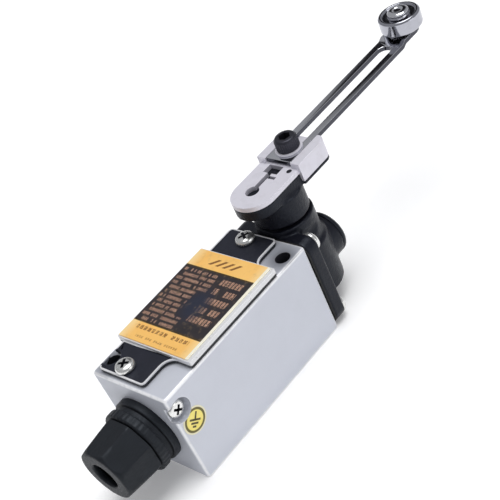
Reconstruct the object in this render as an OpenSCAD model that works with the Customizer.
// Limit switch with an adjustable roller lever.
//
// The switch lies on its mounting face. The origin is the centre of that face: X runs across the
// body, Y from the cable gland towards the head, and Z out of the front, along the lever's shaft.

/* [Body] */
// Width of the housing
body_w = 28; // [26.5:0.5:34]
// Length of the housing, without gland and head
body_l = 58; // [54:0.5:70]
// Depth of the housing, from the mounting face to the front
body_d = 30; // [28:0.5:36]
// Side wall of the housing
wall = 2.4; // [2:0.1:2.8]
// Floor of the housing
floor_t = 3; // [2.5:0.1:4]
// Solid end blocks, which take the screws and the gland
end_t = 9.2; // [8.6:0.1:10.5]
// Depth of the lip across each end of the case's mouth
lip_t = 3.5; // [2.5:0.1:4.5]
// Radius of the housing's outer corners
body_r = 1.2; // [0.5:0.1:2]

/* [Mounting holes] */
// Diameter of the two mounting holes
mount_d = 4.3; // [3.4:0.1:4.6]
// Distance of a mounting hole from the side
mount_in_x = 3.5; // [3.3:0.1:4]
// Distance of a mounting hole from the end
mount_in_y = 5.5; // [5:0.1:6]

/* [Cover] */
// Thickness of the cover gasket
gasket_t = 0.5; // [0.3:0.1:0.8]
// Thickness of the cover at its end lugs
lug_t = 1; // [0.8:0.1:1.5]
// Height of the cover's middle above its lugs
plateau_t = 0.9; // [0.4:0.1:1.2]
// Thickness of the label plate
label_t = 0.3; // [0.2:0.05:0.5]
// Distance of the cover's middle from the body's ends
plateau_in = 11.5; // [10.5:0.1:13]
// Width of the end lugs
lug_w = 17.2; // [15:0.1:18]
// Distance of a lug's end from the body's end
lug_in = 1.3; // [1:0.1:2]
// Fillet between a lug and the middle
lug_fillet = 3.4; // [2:0.1:4]
// Distance of a cover screw from the body's end
cover_screw_in = 4.2; // [4:0.1:4.6]

/* [Screws] */
// Thread diameter of the small screws
screw_d = 3; // [2.5:0.1:3]
// Head diameter of the small screws
screw_head_d = 5.6; // [5:0.1:5.8]
// Head height of the small screws
screw_head_h = 1.8; // [1.4:0.1:2]

/* [Head] */
// Thickness of the head's flange
flange_t = 4; // [3:0.1:5]
// Thickness of the head gasket
head_gasket_t = 0.5; // [0.3:0.1:0.8]
// Radius of the arched block at the back of the head, around the shaft
arch_r = 9.4; // [9:0.1:10.5]
// Height of the shaft's axis above the housing
shaft_y = 8.5; // [8.2:0.1:11]
// Depth of the arched block, back to front
arch_d = 16.8; // [15.5:0.1:18]
// Distance of the arched block from the back of the flange
arch_in = 5.5; // [5:0.1:6.5]
// Diameter of the boss around the shaft
boss_d = 16.8; // [15.5:0.1:18]
// Height of the boss above the front of the housing
boss_h = 1.2; // [0.5:0.1:3]
// Diameter of the round cap on top
cap_d = 14.2; // [12:0.1:15]
// Height of the cap's top above the arch's crown
cap_rise = 2.8; // [2.4:0.1:4]
// Distance of a head screw from the flange's side
head_screw_in = 3.2; // [3.1:0.1:3.6]

/* [Shaft] */
// Diameter of the lever shaft
shaft_d = 6; // [5:0.1:6.5]
// Outer diameter of the shaft bushing
bushing_d = 9.2; // [8.8:0.1:10]
// Radial running clearance of a turning or sliding fit
fit = 0.05; // [0.02:0.01:0.08]
// Gap between parts that move past each other without touching
gap = 0.3; // [0.2:0.05:0.5]
// Radius of the cam's lobes
cam_r = 4.3; // [4.1:0.1:4.4]

/* [Plunger] */
// Diameter of the plunger's rod
plunger_d = 4; // [3:0.1:4.2]
// Travel of the plunger
plunger_travel = 2; // [1:0.1:2.2]

/* [Lever] */
// Width of the bracket's lower plate
bracket_w = 13.6; // [12:0.1:15]
// Distance from the shaft's axis to the centre of the bracket's round end
bracket_drop = 6; // [5:0.1:8]
// Thickness of the bracket's front plate
bracket_t = 1.4; // [1:0.1:2]
// Height of the front plate above the front of the head's boss
bracket_z = 12.6; // [11:0.1:14]
// Width of the clamp block
block_w = 15.2; // [14:0.1:17]
// Length of the clamp block
block_l = 12.4; // [11:0.1:14]
// Distance from the shaft's axis to the clamp block
block_y = 5.1; // [4.8:0.1:6.5]
// Height of the clamp block above the bracket's plate
block_rise = 1.6; // [1.6:0.1:2.4]
// Thickness of the black back plate under the clamp block
tail_t = 1.1; // [0.8:0.1:1.6]
// Diameter of the hub on the shaft
hub_d = 15.8; // [14:0.1:17]

/* [Arm] */
// Width of the arm
arm_w = 9; // [7.8:0.1:10]
// Thickness of the arm
arm_t = 1.4; // [1.2:0.1:1.6]
// Width of the arm's slot
arm_slot = 4.4; // [4.2:0.1:4.8]
// Distance from the shaft's axis to the roller's axis
reach = 66; // [50:0.5:80]
// Forward step of the arm before the roller
joggle = 0.7; // [0:0.1:2]
// Diameter of the clamping bolt
bolt_d = 4; // [3:0.1:4]

/* [Roller] */
// Diameter of the roller
roller_d = 12.5; // [10:0.1:18]
// Width of the roller
roller_w = 4.6; // [4:0.1:8]
// Diameter of the roller's pin
pin_d = 4; // [3:0.1:4.4]

/* [Gland] */
// Diameter of the gland's collar
collar_d = 20.2; // [19:0.1:22]
// Diameter of the thread in the housing
gland_thread_d = 14; // [12:0.1:14.4]
// Diameter of the cable opening
cable_d = 7.4; // [5:0.1:8]
// Length of the gland in front of the housing
gland_l = 18; // [16:0.1:22]

/* [Ground] */
// Diameter of the pocket around the ground screw
ground_pocket_d = 7; // [6.2:0.1:7.6]
// Diameter of the earth sticker
sticker_d = 7.8; // [6:0.1:8.2]

/* [Hidden] */
$fn = 64;
eps = 0.01;
thread_gap = 0.04;
edge_r = 0.4;

side_x = body_w / 2;
end_y = body_l / 2;
mid_z = body_d / 2;
hole_x = side_x - mount_in_x;
hole_y = end_y - mount_in_y;
screw_r = screw_d / 2;
hole_r = screw_r + thread_gap;
screw_clear_r = screw_r + 0.1;
head_r = screw_head_d / 2;

// Cover
cover_z = body_d + gasket_t;
lug_z = cover_z + lug_t;
plateau_z = lug_z + plateau_t;
plateau_y = end_y - plateau_in;
cover_gap_x = 0.2;
lug_x1 = side_x - 8.4;
lug_x0 = lug_x1 - lug_w;
lug_y = end_y - lug_in;
cover_screw_x = (lug_x0 + lug_x1) / 2 - 0.5;
cover_screw_y = end_y - cover_screw_in;
cover_screw_l = 7;

// Cavity and what passes through the end blocks
cavity_x = side_x - wall;
cavity_y = end_y - end_t;
// The mouth of the case stays under the cover's raised middle
mouth_y = end_y - plateau_in - 1.2;
plunger_r = plunger_d / 2;
spring_seat_r = plunger_r + 1.7;
spring_seat_y = end_y - 3.5;
gland_bore_r = gland_thread_d / 2 + thread_gap;

// Head
flange_y = end_y + head_gasket_t;
flange_top = flange_y + flange_t;
flange_in_z = 0.5;
flange_r = 3.5;
head_screw_x = side_x - head_screw_in;
head_screw_z = mid_z - flange_in_z - head_screw_in + 0.4;
head_screw_grip = hole_y + mount_d / 2 + 0.6;
axis_y = end_y + shaft_y;
arch_z0 = flange_in_z + arch_in;
arch_z1 = arch_z0 + arch_d;
boss_z = body_d + boss_h;
boss_r = boss_d / 2;
front_z = body_d - flange_in_z - 1.3;
arch_chamfer = 1;
cap_top = axis_y + arch_r + cap_rise;
cap_y = cap_top - 2;
cam_gap_r = cam_r + gap;
chamber_w = 2 * cam_gap_r + 0.4;
chamber_z0 = mid_z - 5.2;
chamber_z1 = mid_z + 5.2;
chamber_top = axis_y + cam_gap_r + 0.5;
cap_bore_r = 4;
cap_hollow_y = cap_top - 1;

// Shaft, bushing and seal
shaft_r = shaft_d / 2;
bushing_r = bushing_d / 2;
pivot_r = shaft_r - 0.5;
pivot_z = chamber_z0 - 2.4;
seal_l = 2.2;
seal_r = shaft_r + 2.2;
seal_z = boss_z - seal_l;
cam_flat = cam_r - 0.8;
cam_z0 = mid_z - 4;
cam_z1 = chamber_z1 - gap;

// Lever, measured from the front of the boss
hub_z = boss_z + 0.9;
plate_z = boss_z + bracket_z;
plate_back = plate_z - bracket_t;
base_back = plate_back - 3.2;
tail_z = base_back - 0.4;
block_z = plate_z + block_rise;
shaft_end = plate_back - 0.2;
bracket_r = bracket_w / 2;
bracket_y = axis_y - bracket_drop;
block_y0 = axis_y + block_y;
block_y1 = block_y0 + block_l;
block_r = 2.4;
arm_side_gap = 0.1;
arm_lift = 0.2;
channel_z = plate_z + 0.1;
pin_spot = [4.6, block_y0 - 1.3];

// Keyhole slit in the bracket: a round relief hole, a slit, a side cut and a wide mouth
relief_r = 2;
slit_w = 1.5;
mouth_w = 5;
mouth_l = 3.2;
side_cut = [3.2, 1];
slit_x = -0.7;

// Arm and its bolt
arm_z = plate_z + arm_lift;
arm_top = arm_z + arm_t;
bolt_r = bolt_d / 2;
bolt_y = block_y0 + 5.4;
washer_t = 0.5;
washer_r = bolt_r + 1.9;
washer_z = block_z;
bolt_head_z = washer_z + washer_t;
bolt_head_r = bolt_r + 1.3;
bolt_head_h = bolt_d - 0.3;
bolt_chamfer = 0.4;
roller_y = axis_y + reach;
arm_y0 = block_y0 + 0.4;
slot_y0 = bolt_y - arm_slot / 2;
joggle_y = roller_y - roller_d / 2 - 0.4;
slot_y1 = joggle_y - 1.6;
joggle_l = 1.4;
ear_z = arm_top + joggle;
pin_r = pin_d / 2;
pin_washer_t = 0.3;
roller_z = ear_z + pin_washer_t + 0.2;
roller_top = roller_z + roller_w;

// Gland
gland_y = -end_y;
gland_bore = 5;
collar_r = collar_d / 2;
collar_l = 2.3;
neck_l = 1.5;
ring_l = 2.8;
ring_r = collar_r - 0.1;
thread_r = 7.6;
nut_y0 = gland_y - collar_l - neck_l - ring_l - 0.3;
nut_y1 = gland_y - gland_l;
nut_wall = 1.8;
cable_r = cable_d / 2;
grommet_l = 6.4;

// Ground screw and sticker, on the right side
ground_y = -end_y + 2.7;
ground_z = body_d - 6;
pocket_depth = wall;
sticker_y = -end_y + 4.8;
sticker_z = body_d - 11.8;
sticker_t = 0.12;

// Inner switch
base_y0 = -11;
base_y1 = cavity_y - 1.3;
base_x = 10;
base_top = mid_z + 4;
slider_x = 3.2;
slider_z = 3.4;
slider_y0 = -1;
slider_y1 = base_y1 - 0.8;
stem_y = cavity_y + 0.6;
stem_r = 1.9;
bridge_y = 1;
bridge_t = 0.8;
bridge_x = 7.4;
window_y1 = 8;
contact_x0 = 5.4;
contact_x1 = 9.6;
contact_t = 0.8;
terminal_x = 7.5;
nc_y = bridge_y + bridge_t + 1;
no_y = bridge_y - plunger_travel - 1;
nc_screw_y = nc_y + contact_t + 4.2;
no_screw_y = no_y - contact_t - 3.6;
base_screw_y = base_y1 - 4;
lid_t = 1.2;

// ---- Shapes that repeat ----

// A block between two values on each axis
module block(x, y, z) {
    translate([x[0], y[0], z[0]]) cube([x[1] - x[0], y[1] - y[0], z[1] - z[0]]);
}

// Round bars along the three axes, from one value to another
module bar_x(y, z, x, r) { translate([x[0], y, z]) rotate([0, 90, 0]) cylinder(r = r, h = x[1] - x[0]); }
module bar_y(x, z, y, r) { translate([x, y[0], z]) rotate([-90, 0, 0]) cylinder(r = r, h = y[1] - y[0]); }
module bar_z(x, y, z, r) { translate([x, y, z[0]]) cylinder(r = r, h = z[1] - z[0]); }

// A ring around an axis parallel to Y
module ring_y(x, z, y, r_in, r_out) {
    difference() {
        bar_y(x, z, y, r_out);
        bar_y(x, z, [y[0] - eps, y[1] + eps], r_in);
    }
}

// A rectangle with round corners, between two values on each axis
module round_rect(x, y, r) {
    union() {
        translate([x[0] + r, y[0]]) square([x[1] - x[0] - 2 * r, y[1] - y[0]]);
        translate([x[0], y[0] + r]) square([x[1] - x[0], y[1] - y[0] - 2 * r]);
        for (cx = [x[0] + r, x[1] - r], cy = [y[0] + r, y[1] - r])
            translate([cx, cy]) circle(r = r);
    }
}

// The corner that is left between two edges once a round of radius r is taken off
module fillet(r) {
    difference() {
        square(r);
        translate([r, r]) circle(r = r);
    }
}

// A pan-head screw on the Z axis: the head's underside is at zero and the shank runs down
module pan_screw(length, r = screw_r, hr = head_r, hh = screw_head_h) {
    recess = hr * 0.95;
    difference() {
        union() {
            cylinder(r = hr, h = hh * 0.5);
            translate([0, 0, hh * 0.5]) cylinder(r1 = hr, r2 = hr * 0.72, h = hh * 0.5);
            translate([0, 0, -length]) cylinder(r = r, h = length + eps);
        }
        for (a = [0, 90])
            rotate([0, 0, a]) translate([-recess / 2, -0.35, hh * 0.35]) cube([recess, 0.7, hh]);
    }
}

// A coil spring on the Z axis, between two heights, swept as a tube along a helix
module coil(z0, z1, r, wire, turns) {
    sides = 6;
    steps = turns * 16;
    rise = z1 - z0 - wire;
    points = [
        for (i = [0 : steps], k = [0 : sides - 1])
            let (a = 360 * turns * i / steps, b = 360 * k / sides, w = wire / 2)
            [(r + w * cos(b)) * cos(a), (r + w * cos(b)) * sin(a),
             z0 + w + rise * i / steps + w * sin(b)]
    ];
    walls = [
        for (i = [0 : steps - 1], k = [0 : sides - 1])
            let (a = i * sides + k, b = i * sides + (k + 1) % sides)
            [a, a + sides, b + sides, b]
    ];
    first = [for (k = [0 : sides - 1]) k];
    last = [for (k = [sides - 1 : -1 : 0]) steps * sides + k];
    polyhedron(points, concat([first], walls, [last]));
}

// ---- Case ----

// Outline of the cover and its gasket at lug level, drawn a given distance inside
module cover_outline(inset = 0) {
    difference() {
        union() {
            round_rect([-side_x + cover_gap_x + inset, side_x - cover_gap_x - inset],
                       [-plateau_y + inset, plateau_y - inset], edge_r);
            round_rect([lug_x0 + inset, lug_x1 - inset], [-lug_y + inset, lug_y - inset], 1.2);
            for (s = [-1, 1])
                translate([lug_x1 - inset, s * (plateau_y - inset)]) scale([1, s]) fillet(lug_fillet);
        }
        translate([-hole_x, -hole_y]) circle(r = mount_d / 2 + 0.5);
        for (s = [-1, 1]) translate([cover_screw_x, s * cover_screw_y]) circle(r = screw_clear_r);
    }
}

module housing() {
    color([0.74, 0.75, 0.77]) difference() {
        linear_extrude(body_d) round_rect([-side_x, side_x], [-end_y, end_y], body_r);
        block([-cavity_x, cavity_x], [-cavity_y, cavity_y], [floor_t, body_d - lip_t]);
        block([-cavity_x, cavity_x], [-mouth_y, mouth_y], [floor_t, body_d + eps]);
        for (s = [-1, 1]) bar_z(s * hole_x, s * hole_y, [-eps, body_d + eps], mount_d / 2);
        for (s = [-1, 1])
            bar_z(cover_screw_x, s * cover_screw_y, [body_d - cover_screw_l, body_d + eps], hole_r);
        bar_y(0, mid_z, [-end_y - eps, -cavity_y + eps], gland_bore_r);
        bar_y(0, mid_z, [cavity_y - eps, end_y], plunger_r + fit);
        bar_y(0, mid_z, [spring_seat_y, end_y + eps], spring_seat_r);
        for (x = [-1, 1], z = [-1, 1])
            bar_y(x * head_screw_x, mid_z + z * head_screw_z, [head_screw_grip, end_y + eps], hole_r);
        bar_x(ground_y, ground_z, [side_x - pocket_depth, side_x + eps], ground_pocket_d / 2);
        bar_x(ground_y, ground_z, [side_x - pocket_depth - 6, side_x], hole_r);
        for (s = [-1, 1]) bar_z(s * terminal_x, base_screw_y, [1, floor_t + eps], hole_r);
    }
}

module cover_gasket() {
    color([0.08, 0.08, 0.09]) translate([0, 0, body_d]) linear_extrude(gasket_t)
        difference() {
            cover_outline(0.3);
            round_rect([-cavity_x + 1.4, cavity_x - 1.4], [-plateau_y + 3, plateau_y - 3], 1);
        }
}

module front_cover() {
    color([0.78, 0.78, 0.79]) union() {
        translate([0, 0, cover_z]) linear_extrude(lug_t) cover_outline();
        translate([0, 0, lug_z]) linear_extrude(plateau_t)
            round_rect([-side_x + cover_gap_x, side_x - cover_gap_x], [-plateau_y, plateau_y], edge_r);
    }
}

module label_plate() {
    margin = 0.35;
    color([0.85, 0.62, 0.2]) translate([0, 0, plateau_z]) linear_extrude(label_t)
        round_rect([-side_x + cover_gap_x + margin, side_x - cover_gap_x - 3 * margin],
                   [-plateau_y + margin, plateau_y - margin], edge_r);
}

module cover_screws() {
    color([0.8, 0.8, 0.8]) for (s = [-1, 1])
        translate([cover_screw_x, s * cover_screw_y, lug_z])
            pan_screw(gasket_t + lug_t + cover_screw_l - 0.5);
}

module ground_screw() {
    color([0.75, 0.76, 0.78])
        translate([side_x - pocket_depth, ground_y, ground_z]) rotate([0, 90, 0])
            pan_screw(5.5, hr = head_r - 0.3, hh = screw_head_h - 0.2);
}

module earth_sticker() {
    color([0.93, 0.85, 0.3])
        difference() {
            bar_x(sticker_y, sticker_z, [side_x, side_x + sticker_t], sticker_d / 2);
            bar_x(ground_y, ground_z, [side_x - eps, side_x + 2 * sticker_t], ground_pocket_d / 2 + 0.1);
        }
}

// ---- Inner switch ----

module switch_base() {
    color([0.32, 0.18, 0.1]) difference() {
        block([-base_x, base_x], [base_y0, base_y1], [floor_t, base_top]);
        block([-slider_x - gap, slider_x + gap], [-5, base_y1 + eps],
              [mid_z - slider_z - gap, base_top + eps]);
        block([-contact_x1, contact_x1], [no_y - contact_t, nc_y + contact_t],
              [mid_z - slider_z, base_top + eps]);
        for (s = [-1, 1]) {
            bar_z(s * terminal_x, nc_screw_y, [mid_z - 3, base_top + eps], hole_r);
            bar_z(s * terminal_x, no_screw_y, [mid_z - 3, base_top + eps], hole_r);
            bar_z(s * terminal_x, base_screw_y, [0, base_top + eps], screw_clear_r);
        }
    }
}

module switch_lid() {
    color([0.12, 0.12, 0.13]) translate([0, 0, base_top]) linear_extrude(lid_t)
        round_rect([-contact_x0 + 0.4, contact_x0 - 0.4], [base_y0 + 1, base_y1], 0.8);
}

module base_screws() {
    color([0.78, 0.72, 0.5]) for (s = [-1, 1])
        translate([s * terminal_x, base_screw_y, base_top])
            pan_screw(base_top - 1.3, hr = 2.4, hh = 1.5);
}

// One fixed contact: a blade beside the bridge and a pad under its terminal screw
module fixed_contact(y, out) {
    pad = 7.2;
    yy = out > 0 ? [y, y + contact_t] : [y - contact_t, y];
    py = out > 0 ? [y + contact_t, y + contact_t + pad] : [y - contact_t - pad, y - contact_t];
    difference() {
        union() {
            block([contact_x0, contact_x1], yy, [mid_z - 2.2, base_top + contact_t]);
            block([contact_x0, contact_x1], [py[0] - (out > 0 ? eps : 0), py[1] + (out > 0 ? 0 : eps)],
                  [base_top, base_top + contact_t]);
        }
        bar_z(terminal_x, out > 0 ? nc_screw_y : no_screw_y,
              [base_top - eps, base_top + contact_t + eps], screw_clear_r);
    }
}

module fixed_contacts() {
    color([0.8, 0.62, 0.3]) for (s = [0, 1]) mirror([s, 0, 0]) {
        fixed_contact(nc_y, 1);
        fixed_contact(no_y, -1);
    }
}

module terminal_screws() {
    color([0.82, 0.8, 0.7]) for (s = [-1, 1], y = [nc_screw_y, no_screw_y])
        translate([s * terminal_x, y, base_top + contact_t]) pan_screw(5, hr = 2, hh = 1.5);
}

module switch_slider() {
    color([0.85, 0.84, 0.78]) difference() {
        union() {
            block([-slider_x, slider_x], [slider_y0, slider_y1], [mid_z - slider_z, mid_z + slider_z]);
            bar_y(0, mid_z, [slider_y1 - eps, stem_y], stem_r);
        }
        block([-slider_x - eps, slider_x + eps], [bridge_y, window_y1], [mid_z - 2.2, mid_z + 2.2]);
    }
}

module contact_bridge() {
    pip_y = [bridge_y - 0.5, bridge_y + bridge_t + 0.5];
    color([0.75, 0.45, 0.25]) union() {
        block([-bridge_x, bridge_x], [bridge_y, bridge_y + bridge_t], [mid_z - 2, mid_z + 2]);
        for (s = [-1, 1]) bar_y(s * (contact_x0 + 1), mid_z, pip_y, 0.9);
    }
}

module contact_spring() {
    color([0.7, 0.7, 0.72]) translate([0, 0, mid_z]) rotate([-90, 0, 0])
        coil(bridge_y + bridge_t, window_y1, 1.4, 0.4, 5);
}

// ---- Head ----

module head_outline() {
    round_rect([-side_x, side_x], [-body_d + flange_in_z, -flange_in_z], flange_r);
}

module head_screw_holes(y, r) {
    for (x = [-1, 1], z = [-1, 1]) bar_y(x * head_screw_x, mid_z + z * head_screw_z, y, r);
}

module head_gasket() {
    color([0.07, 0.07, 0.08]) difference() {
        translate([0, end_y, 0]) rotate([-90, 0, 0]) linear_extrude(head_gasket_t) head_outline();
        bar_y(0, mid_z, [end_y - eps, flange_y + eps], spring_seat_r);
        head_screw_holes([end_y - eps, flange_y + eps], screw_clear_r);
    }
}

module head_housing() {
    color([0.06, 0.06, 0.07]) difference() {
        union() {
            translate([0, flange_y, 0]) rotate([-90, 0, 0]) linear_extrude(flange_t) head_outline();
            bar_z(0, axis_y, [arch_z0, arch_z1 - arch_chamfer], arch_r);
            translate([0, axis_y, arch_z1 - arch_chamfer - eps])
                cylinder(r1 = arch_r, r2 = arch_r - arch_chamfer, h = arch_chamfer);
            block([-arch_r, arch_r], [flange_top - eps, axis_y], [arch_z0, arch_z1 - arch_chamfer]);
            bar_z(0, axis_y, [arch_z1 - arch_chamfer, boss_z], boss_r);
            block([-boss_r, boss_r], [flange_top - eps, axis_y], [arch_z1 - arch_chamfer, front_z]);
            bar_y(0, mid_z, [axis_y, cap_y], cap_d / 2);
        }
        block([-side_x, side_x], [axis_y - arch_r - 1, flange_y], [-eps, boss_z + eps]);
        block([-chamber_w / 2, chamber_w / 2], [flange_y - eps, chamber_top], [chamber_z0, chamber_z1]);
        bar_z(0, axis_y, [chamber_z1 - eps, boss_z + eps], bushing_r);
        bar_z(0, axis_y, [seal_z, boss_z + eps], seal_r);
        bar_z(0, axis_y, [pivot_z - gap, chamber_z0 + eps], pivot_r + fit);
        bar_y(0, mid_z, [chamber_top - eps, cap_y + eps], cap_bore_r);
        head_screw_holes([flange_y - eps, flange_top + eps], screw_clear_r);
        head_screw_holes([flange_top, cap_top + 1], head_r + 0.35);
    }
}

module head_screws() {
    color([0.8, 0.8, 0.8]) for (x = [-1, 1], z = [-1, 1])
        translate([x * head_screw_x, flange_top, mid_z + z * head_screw_z]) rotate([-90, 0, 0])
            pan_screw(flange_top - head_screw_grip - 0.2);
}

module head_cap() {
    color([0.07, 0.07, 0.08]) difference() {
        union() {
            bar_y(0, mid_z, [cap_y, cap_top - 0.8], cap_d / 2);
            translate([0, cap_top - 0.8 - eps, mid_z]) rotate([-90, 0, 0])
                cylinder(r1 = cap_d / 2, r2 = cap_d / 2 - 0.8, h = 0.8 + eps);
            bar_y(0, mid_z, [cap_y - 1.2, cap_y + eps], cap_bore_r - fit);
        }
        bar_y(0, mid_z, [cap_y - 1.2 - eps, cap_hollow_y], cap_bore_r - 0.8);
    }
}

module return_follower() {
    color([0.8, 0.8, 0.78])
        bar_y(0, mid_z, [axis_y + cam_gap_r, axis_y + cam_gap_r + 1.9], cap_bore_r - 0.1);
}

module return_spring() {
    color([0.7, 0.7, 0.72]) translate([0, 0, mid_z]) rotate([-90, 0, 0])
        coil(axis_y + cam_gap_r + 1.9, cap_hollow_y, 2.2, 0.6, 4);
}

module shaft_bushing() {
    color([0.7, 0.55, 0.3]) difference() {
        bar_z(0, axis_y, [chamber_z1, seal_z], bushing_r);
        bar_z(0, axis_y, [chamber_z1 - eps, seal_z + eps], shaft_r + fit);
    }
}

module shaft_seal() {
    color([0.1, 0.1, 0.1]) difference() {
        bar_z(0, axis_y, [seal_z, boss_z], seal_r);
        bar_z(0, axis_y, [seal_z - eps, boss_z + eps], shaft_r + fit);
    }
}

module head_plunger() {
    top = axis_y - cam_gap_r;
    color([0.85, 0.84, 0.8]) union() {
        bar_y(0, mid_z, [top - 1.5, top], spring_seat_r - 0.3);
        bar_y(0, mid_z, [stem_y, top - 1.5 + eps], plunger_r);
    }
}

module plunger_spring() {
    color([0.7, 0.7, 0.72]) translate([0, 0, mid_z]) rotate([-90, 0, 0])
        coil(spring_seat_y, axis_y - cam_gap_r - 1.5, plunger_r + 0.85, 0.6, 5);
}

// ---- Gland ----

module gland_body() {
    collar_end = gland_y - collar_l;
    neck_end = collar_end - neck_l;
    ring_end = neck_end - ring_l;
    color([0.08, 0.08, 0.09]) difference() {
        union() {
            bar_y(0, mid_z, [gland_y, -cavity_y - 0.6], gland_thread_d / 2);
            bar_y(0, mid_z, [collar_end, gland_y + eps], collar_r);
            bar_y(0, mid_z, [neck_end, collar_end + eps], collar_r - 1);
            bar_y(0, mid_z, [ring_end, neck_end + eps], ring_r);
            bar_y(0, mid_z, [nut_y1 + nut_wall + 2, ring_end + eps], thread_r);
        }
        bar_y(0, mid_z, [nut_y1, -cavity_y], gland_bore);
        ring_y(0, mid_z, [gland_y - 0.6, gland_y + eps], collar_r - 1.8, collar_r - 0.8);
    }
}

module gland_oring() {
    color([0.1, 0.1, 0.1])
        ring_y(0, mid_z, [gland_y - 0.58, gland_y], collar_r - 1.75, collar_r - 0.85);
}

module gland_grommet() {
    y0 = nut_y1 + nut_wall + 0.4;
    color([0.14, 0.14, 0.15]) difference() {
        union() {
            bar_y(0, mid_z, [y0 + 1.6 - eps, y0 + grommet_l], gland_bore - 0.05);
            bar_y(0, mid_z, [y0, y0 + 1.6], thread_r - 0.4);
        }
        bar_y(0, mid_z, [y0 - eps, y0 + grommet_l + eps], cable_r);
    }
}

module gland_nut() {
    length = nut_y0 - nut_y1;
    across = 18.6;
    color([0.07, 0.07, 0.08]) difference() {
        intersection() {
            translate([0, nut_y1, mid_z]) rotate([-90, 0, 0])
                cylinder(r1 = collar_r - 2.1, r2 = collar_r - 0.6, h = length);
            translate([0, nut_y1 - eps, mid_z]) rotate([-90, 0, 0])
                cylinder(d = across / cos(22.5), h = length + 2 * eps, $fn = 8);
        }
        bar_y(0, mid_z, [nut_y1 + nut_wall, nut_y0 + eps], thread_r + fit);
        bar_y(0, mid_z, [nut_y1 - eps, nut_y1 + nut_wall + eps], cable_r + 0.3);
    }
}

// ---- Lever ----

module lever_shaft() {
    color([0.7, 0.71, 0.73]) union() {
        bar_z(0, axis_y, [chamber_z0 + gap, shaft_end], shaft_r);
        bar_z(0, axis_y, [pivot_z, chamber_z0 + gap + eps], pivot_r);
    }
}

module cam() {
    color([0.75, 0.7, 0.6]) difference() {
        intersection() {
            bar_z(0, axis_y, [cam_z0, cam_z1], cam_r);
            block([-cam_r, cam_r], [axis_y - cam_flat, axis_y + cam_flat], [cam_z0 - eps, cam_z1 + eps]);
        }
        bar_z(0, axis_y, [cam_z0 - eps, cam_z1 + eps], shaft_r + thread_gap);
    }
}

// The stadium that the bracket and the base share, up to the clamp block
module lever_outline(w) {
    union() {
        translate([0, bracket_y]) circle(d = w);
        translate([-w / 2, bracket_y]) square([w, block_y0 - bracket_y]);
    }
}

// The clamp block's outline, with its far corners round
module block_outline() {
    union() {
        translate([-block_w / 2, block_y0]) square([block_w, block_l - block_r]);
        translate([-block_w / 2 + block_r, block_y0]) square([block_w - 2 * block_r, block_l]);
        for (s = [-1, 1]) translate([s * (block_w / 2 - block_r), block_y1 - block_r]) circle(r = block_r);
    }
}

module lever_base() {
    color([0.07, 0.07, 0.08]) difference() {
        union() {
            bar_z(0, axis_y, [hub_z, base_back + eps], hub_d / 2);
            translate([0, 0, base_back]) linear_extrude(plate_back - base_back) lever_outline(bracket_w);
            translate([0, 0, tail_z]) linear_extrude(tail_t) block_outline();
            translate([0, 0, tail_z]) linear_extrude(base_back - tail_z + eps)
                translate([-bracket_r, axis_y]) square([bracket_w, block_y + eps]);
        }
        bar_z(0, axis_y, [hub_z - eps, shaft_end], shaft_r + thread_gap);
        bar_z(0, bolt_y, [tail_z - eps, tail_z + tail_t + eps], bolt_r + thread_gap);
        bar_z(pin_spot[0], pin_spot[1], [base_back + 1, plate_back + eps], 0.75 + thread_gap);
    }
}

// The keyhole slit, cut right through the bracket's front plate
module keyhole() {
    mouth_y = block_y0 - 0.2 - mouth_l;
    translate([slit_x, 0]) union() {
        translate([0, bracket_y]) circle(r = relief_r);
        translate([-slit_w / 2, bracket_y]) square([slit_w, mouth_y - bracket_y + eps]);
        translate([-mouth_w / 2, mouth_y]) square([mouth_w, mouth_l]);
        translate([0, axis_y - 0.3]) square(side_cut);
    }
}

module lever_bracket() {
    color([0.8, 0.8, 0.82]) difference() {
        union() {
            translate([0, 0, plate_back]) linear_extrude(bracket_t) lever_outline(bracket_w);
            translate([0, 0, tail_z + tail_t]) linear_extrude(block_z - tail_z - tail_t) block_outline();
        }
        translate([0, 0, plate_back - eps]) linear_extrude(bracket_t + 2 * eps) keyhole();
        block([-arm_w / 2 - arm_side_gap, arm_w / 2 + arm_side_gap], [block_y0 - eps, block_y1 + eps],
              [channel_z, block_z + eps]);
        bar_z(0, bolt_y, [tail_z, block_z], bolt_r + thread_gap);
        bar_z(pin_spot[0], pin_spot[1], [plate_back - eps, plate_z + eps], 0.75 + thread_gap);
    }
}

module locating_pin() {
    color([0.35, 0.35, 0.37]) bar_z(pin_spot[0], pin_spot[1], [base_back + 1, plate_z], 0.75);
}

module arm_bolt() {
    color([0.08, 0.08, 0.09]) difference() {
        union() {
            bar_z(0, bolt_y, [tail_z - 0.8, bolt_head_z + eps], bolt_r);
            bar_z(0, bolt_y, [bolt_head_z, bolt_head_z + bolt_head_h - bolt_chamfer], bolt_head_r);
            translate([0, bolt_y, bolt_head_z + bolt_head_h - bolt_chamfer - eps])
                cylinder(r1 = bolt_head_r, r2 = bolt_head_r - bolt_chamfer, h = bolt_chamfer);
        }
        translate([0, bolt_y, bolt_head_z + bolt_head_h * 0.45])
            cylinder(d = bolt_d * 0.9, h = bolt_head_h, $fn = 6);
    }
}

module arm_washer() {
    color([0.7, 0.71, 0.73]) difference() {
        bar_z(0, bolt_y, [washer_z, washer_z + washer_t], washer_r);
        bar_z(0, bolt_y, [washer_z - eps, washer_z + washer_t + eps], bolt_r + 0.1);
    }
}

// ---- Arm and roller ----

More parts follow.
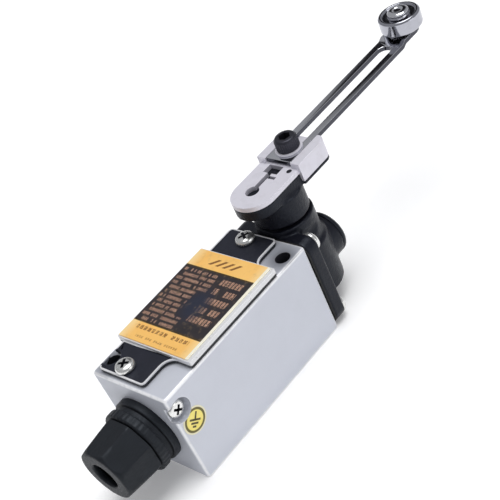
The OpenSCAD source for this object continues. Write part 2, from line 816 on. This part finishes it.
// The arm's outline from the front: a bar with a round end, a long slot and the pin's hole
module arm_plan() {
    difference() {
        union() {
            translate([-arm_w / 2, arm_y0]) square([arm_w, roller_y - arm_y0]);
            translate([0, roller_y]) circle(d = arm_w);
        }
        translate([-arm_slot / 2, slot_y0 + arm_slot / 2]) square([arm_slot, slot_y1 - slot_y0 - arm_slot]);
        for (y = [slot_y0 + arm_slot / 2, slot_y1 - arm_slot / 2]) translate([0, y]) circle(d = arm_slot);
        translate([0, roller_y]) circle(r = pin_r + thread_gap);
    }
}

// The arm's outline from the side, as Y and Z: flat, then a small step forward
module arm_side() {
    end = roller_y + arm_w;
    polygon([
        [arm_y0, arm_z], [joggle_y, arm_z], [joggle_y + joggle_l, arm_z + joggle],
        [end, arm_z + joggle], [end, arm_top + joggle], [joggle_y + joggle_l, arm_top + joggle],
        [joggle_y, arm_top], [arm_y0, arm_top]
    ]);
}

module arm() {
    color([0.78, 0.79, 0.81]) intersection() {
        translate([0, 0, arm_z]) linear_extrude(arm_t + joggle) arm_plan();
        translate([-arm_w, 0, 0]) rotate([90, 0, 90]) linear_extrude(2 * arm_w) arm_side();
    }
}

module roller_pin() {
    head_z = roller_top + 0.2;
    color([0.75, 0.76, 0.78]) union() {
        bar_z(0, roller_y, [ear_z - arm_t - 0.6, head_z + eps], pin_r);
        bar_z(0, roller_y, [ear_z - arm_t - 0.6, ear_z - arm_t], pin_r + 0.6);
        bar_z(0, roller_y, [head_z, head_z + 0.9], pin_r + 1.2);
    }
}

module pin_washer() {
    color([0.7, 0.7, 0.72]) difference() {
        bar_z(0, roller_y, [ear_z, ear_z + pin_washer_t], pin_r + 1.6);
        bar_z(0, roller_y, [ear_z - eps, ear_z + pin_washer_t + eps], pin_r + thread_gap);
    }
}

module roller() {
    dish = 0.5;
    color([0.7, 0.71, 0.73]) difference() {
        bar_z(0, roller_y, [roller_z, roller_top], roller_d / 2);
        bar_z(0, roller_y, [roller_z - eps, roller_top + eps], pin_r + fit);
        difference() {
            bar_z(0, roller_y, [roller_top - dish, roller_top + eps], roller_d / 2 - 1.2);
            bar_z(0, roller_y, [roller_top - 2 * dish, roller_top + 2 * eps], pin_r + 1);
        }
    }
}

housing();
cover_gasket();
front_cover();
label_plate();
cover_screws();
ground_screw();
earth_sticker();
switch_base();
switch_lid();
base_screws();
fixed_contacts();
terminal_screws();
gland_body();
gland_oring();
gland_grommet();
gland_nut();
head_gasket();
head_housing();
head_screws();
head_cap();
return_spring();
return_follower();
shaft_bushing();
shaft_seal();
head_plunger();
plunger_spring();
switch_slider();
contact_bridge();
contact_spring();
lever_shaft();
cam();
lever_base();
lever_bracket();
locating_pin();
arm_bolt();
arm_washer();
arm();
roller_pin();
pin_washer();
roller();
